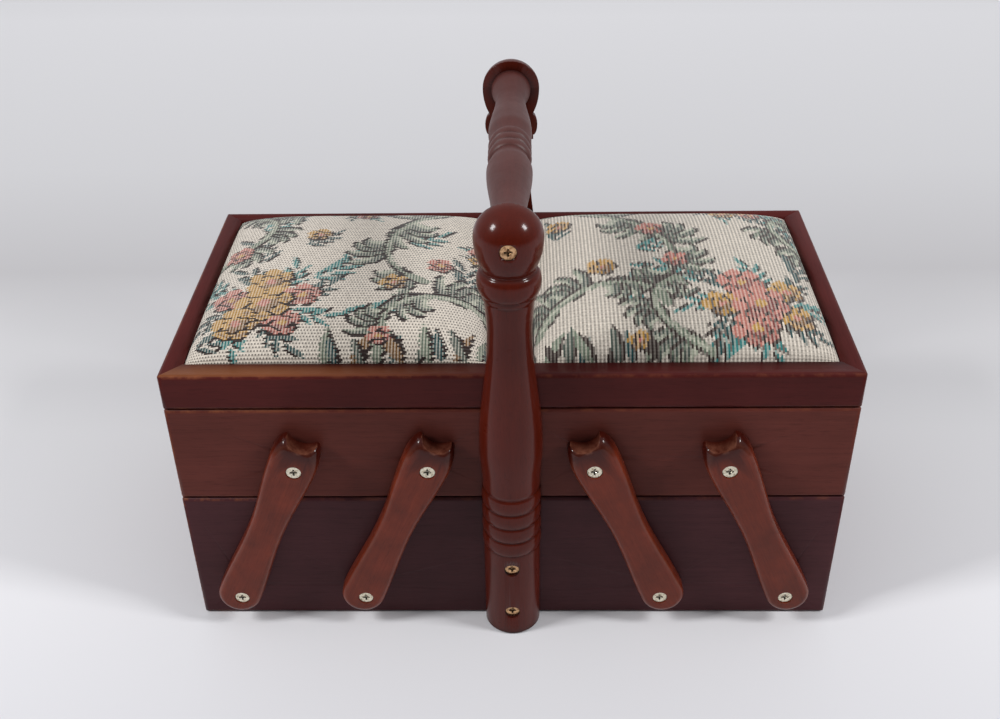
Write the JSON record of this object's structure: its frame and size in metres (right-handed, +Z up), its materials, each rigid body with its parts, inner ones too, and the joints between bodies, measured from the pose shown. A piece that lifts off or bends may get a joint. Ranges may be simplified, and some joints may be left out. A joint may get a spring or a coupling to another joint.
{
  "type": "sewing carrier",
  "caption": "Wooden cantilever sewing box with swinging trays, padded hinged lids over a deep base, and a turned carrying handle between split-turned posts.",
  "frame": {"origin": "centre of the base's underside, on the surface it stands on", "axes": "+X along the length of the box towards the right tray, +Y from the front post to the back post, +Z up"},
  "size_m": [0.358, 0.2124, 0.2567],
  "materials": {
    "stained_wood": "dark mahogany stain under satin lacquer",
    "turned_wood": "red-brown mahogany stain under gloss lacquer",
    "plywood": "bare plywood",
    "steel": "plated, dulled",
    "brass": "plated, dulled",
    "tapestry": "woven tapestry with scrolls and flowers on a cream ground"
  },
  "bodies": {
    "base": {"base_front_wall": "stained_wood", "base_back_wall": "stained_wood", "base_left_end": "stained_wood", "base_right_end": "stained_wood", "base_bottom": "plywood", "front_post": "turned_wood", "back_post": "turned_wood", "handle_rod": "turned_wood", "post_screws": "brass", "rod_screws": "brass", "base_washers": "steel", "base_arm_screws": "steel"},
    "left_tray": {"left_tray_front": "stained_wood", "left_tray_back": "stained_wood", "left_tray_outer_end": "stained_wood", "left_tray_inner_end": "stained_wood", "left_tray_bottom": "plywood", "left_tray_washers": "steel", "left_tray_arm_screws": "steel", "left_tray_hinge_leaves": "brass", "left_hinge_pins": "brass", "left_tray_hinge_screws": "brass"},
    "left_lid": {"left_lid_front_rail": "stained_wood", "left_lid_back_rail": "stained_wood", "left_lid_outer_rail": "stained_wood", "left_lid_inner_rail": "stained_wood", "left_lid_board": "plywood", "left_lid_padding": "tapestry", "left_lid_hinge_leaves": "brass", "left_lid_hinge_screws": "brass"},
    "left_outer_front_arm": {"left_outer_front_arm": "turned_wood"},
    "left_inner_front_arm": {"left_inner_front_arm": "turned_wood"},
    "left_outer_back_arm": {"left_outer_back_arm": "turned_wood"},
    "left_inner_back_arm": {"left_inner_back_arm": "turned_wood"},
    "right_tray": {"right_tray_front": "stained_wood", "right_tray_back": "stained_wood", "right_tray_outer_end": "stained_wood", "right_tray_inner_end": "stained_wood", "right_tray_bottom": "plywood", "right_tray_washers": "steel", "right_tray_arm_screws": "steel", "right_tray_hinge_leaves": "brass", "right_hinge_pins": "brass", "right_tray_hinge_screws": "brass"},
    "right_lid": {"right_lid_front_rail": "stained_wood", "right_lid_back_rail": "stained_wood", "right_lid_outer_rail": "stained_wood", "right_lid_inner_rail": "stained_wood", "right_lid_board": "plywood", "right_lid_padding": "tapestry", "right_lid_hinge_leaves": "brass", "right_lid_hinge_screws": "brass"},
    "right_outer_front_arm": {"right_outer_front_arm": "turned_wood"},
    "right_inner_front_arm": {"right_inner_front_arm": "turned_wood"},
    "right_outer_back_arm": {"right_outer_back_arm": "turned_wood"},
    "right_inner_back_arm": {"right_inner_back_arm": "turned_wood"}
  },
  "joints": [
    {"name": "left_tray_swing", "type": "hinge", "parent": "base", "child": "left_outer_front_arm", "pos_m": [-0.1486, -0.0945, 0.022], "axis": [0, -1, 0], "range_deg": [0, 46.5]},
    {"name": "left_tray_level", "type": "hinge", "parent": "left_outer_front_arm", "child": "left_tray", "pos_m": [-0.1106, -0.0945, 0.1103], "axis": [0, -1, 0], "range_deg": [-46.5, 0]},
    {"name": "left_inner_front_arm_pivot", "type": "hinge", "parent": "base", "child": "left_inner_front_arm", "pos_m": [-0.0804, -0.0945, 0.022], "axis": [0, -1, 0], "range_deg": [0, 46.5]},
    {"name": "left_outer_back_arm_pivot", "type": "hinge", "parent": "base", "child": "left_outer_back_arm", "pos_m": [-0.1486, 0.0945, 0.022], "axis": [0, -1, 0], "range_deg": [0, 46.5]},
    {"name": "left_inner_back_arm_pivot", "type": "hinge", "parent": "base", "child": "left_inner_back_arm", "pos_m": [-0.0804, 0.0945, 0.022], "axis": [0, -1, 0], "range_deg": [0, 46.5]},
    {"name": "left_lid_hinge", "type": "hinge", "parent": "left_tray", "child": "left_lid", "pos_m": [-0.177, 0, 0.14185], "axis": [0, -1, 0], "range_deg": [0, 180]},
    {"name": "right_tray_swing", "type": "hinge", "parent": "base", "child": "right_outer_front_arm", "pos_m": [0.1486, -0.0945, 0.022], "axis": [0, 1, 0], "range_deg": [0, 46.5]},
    {"name": "right_tray_level", "type": "hinge", "parent": "right_outer_front_arm", "child": "right_tray", "pos_m": [0.1106, -0.0945, 0.1103], "axis": [0, 1, 0], "range_deg": [-46.5, 0]},
    {"name": "right_inner_front_arm_pivot", "type": "hinge", "parent": "base", "child": "right_inner_front_arm", "pos_m": [0.0804, -0.0945, 0.022], "axis": [0, 1, 0], "range_deg": [0, 46.5]},
    {"name": "right_outer_back_arm_pivot", "type": "hinge", "parent": "base", "child": "right_outer_back_arm", "pos_m": [0.1486, 0.0945, 0.022], "axis": [0, 1, 0], "range_deg": [0, 46.5]},
    {"name": "right_inner_back_arm_pivot", "type": "hinge", "parent": "base", "child": "right_inner_back_arm", "pos_m": [0.0804, 0.0945, 0.022], "axis": [0, 1, 0], "range_deg": [0, 46.5]},
    {"name": "right_lid_hinge", "type": "hinge", "parent": "right_tray", "child": "right_lid", "pos_m": [0.177, 0, 0.14185], "axis": [0, 1, 0], "range_deg": [0, 180]}
  ],
  "couplings": [
    {"joint": "left_tray_level", "follows": "left_tray_swing", "ratio": -1},
    {"joint": "left_inner_front_arm_pivot", "follows": "left_tray_swing", "ratio": 1},
    {"joint": "left_outer_back_arm_pivot", "follows": "left_tray_swing", "ratio": 1},
    {"joint": "left_inner_back_arm_pivot", "follows": "left_tray_swing", "ratio": 1},
    {"joint": "right_tray_level", "follows": "right_tray_swing", "ratio": -1},
    {"joint": "right_inner_front_arm_pivot", "follows": "right_tray_swing", "ratio": 1},
    {"joint": "right_outer_back_arm_pivot", "follows": "right_tray_swing", "ratio": 1},
    {"joint": "right_inner_back_arm_pivot", "follows": "right_tray_swing", "ratio": 1}
  ]
}
